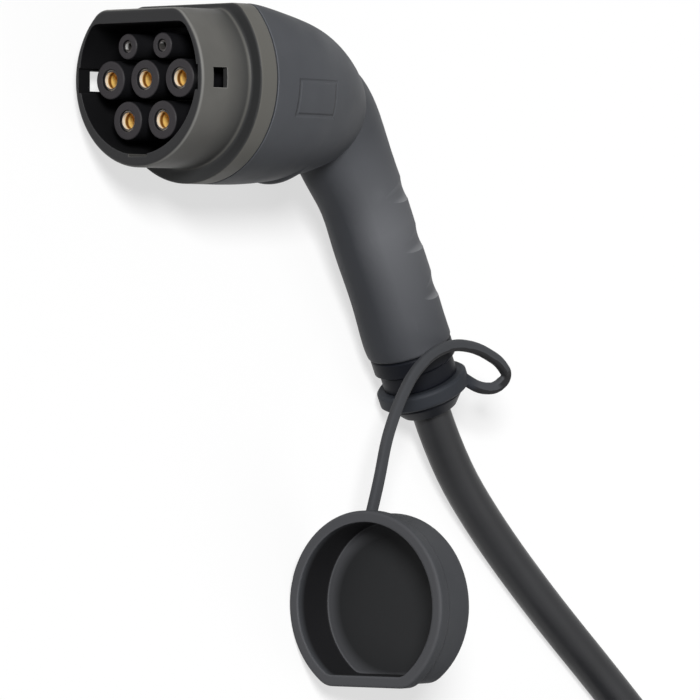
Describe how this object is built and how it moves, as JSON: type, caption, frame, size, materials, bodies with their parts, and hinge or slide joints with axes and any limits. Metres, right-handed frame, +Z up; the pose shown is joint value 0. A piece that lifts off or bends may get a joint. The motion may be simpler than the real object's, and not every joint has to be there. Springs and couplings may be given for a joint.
{
  "type": "ev charging cable",
  "caption": "Electric vehicle charging cable: D-faced sleeve connector on a sloping handle, cap on a strap, round cable tied in a coil, and a station plug.",
  "frame": {"origin": "mouth of the earth contact, on its axis, in the plane of the sleeves' front faces", "axes": "-Y out of the connector's face, the way the inlet leaves; +Z up from the floor the cable lies on; +X towards the lower side of the connector and the cable"},
  "size_m": [0.5256, 0.4388, 0.074],
  "materials": {
    "collar_plastic": "moulded, fine grain, slightly warm dark grey",
    "carrier_plastic": "moulded, near black",
    "power_contact": "turned, gold-coloured plating",
    "signal_contact": "turned, silver-coloured plating",
    "screw_steel": "plain",
    "seal_rubber": "matte black",
    "shell_plastic": "moulded, fine grain, cool dark grey",
    "boot_rubber": "matte, near black",
    "cap_rubber": "matte, soft dark grey",
    "cable_sheath": "smooth, satin",
    "tie_fabric": "woven hook-and-loop band",
    "core_earth": "green and yellow insulation",
    "core_neutral": "blue insulation",
    "core_phase": "brown insulation",
    "core_signal": "pale grey insulation"
  },
  "bodies": {
    "charging_cable": {"pe_contact": "power_contact", "n_contact": "power_contact", "l1_contact": "power_contact", "l2_contact": "power_contact", "l3_contact": "power_contact", "cp_contact": "signal_contact", "pp_contact": "signal_contact", "contact_shroud": "collar_plastic", "contact_carrier": "carrier_plastic", "contact_retainer": "carrier_plastic", "retainer_screws": "screw_steel", "flange_seal": "seal_rubber", "handle_shell": "shell_plastic", "strain_relief": "boot_rubber", "cable_seal": "seal_rubber", "sheath_tail": "cable_sheath", "clamp_half_front": "carrier_plastic", "clamp_half_back": "carrier_plastic", "clamp_screws": "screw_steel", "pe_core": "core_earth", "n_core": "core_neutral", "l1_core": "core_phase", "l2_core": "core_phase", "l3_core": "core_phase", "cp_core": "core_signal", "pp_core": "core_signal", "cable_lead": "cable_sheath", "cable_coil": "cable_sheath", "coil_tie": "tie_fabric", "cable_end": "cable_sheath", "plug_shell": "shell_plastic", "plug_base": "collar_plastic", "plug_nose": "collar_plastic", "plug_pe_pin": "power_contact", "plug_n_pin": "power_contact", "plug_l1_pin": "power_contact", "plug_l2_pin": "power_contact", "plug_l3_pin": "power_contact", "plug_cp_pin": "signal_contact", "plug_pp_pin": "signal_contact", "plug_strain_relief": "boot_rubber"},
    "cap": {"tethered_cap": "cap_rubber"}
  },
  "joints": [
    {"name": "tether_swivel", "type": "hinge", "parent": "charging_cable", "child": "cap", "pos_m": [0.10836, 0.14916, -0.0195], "axis": [-0.8846, -0.4384, 0.1592], "range_deg": [0, 65]}
  ]
}
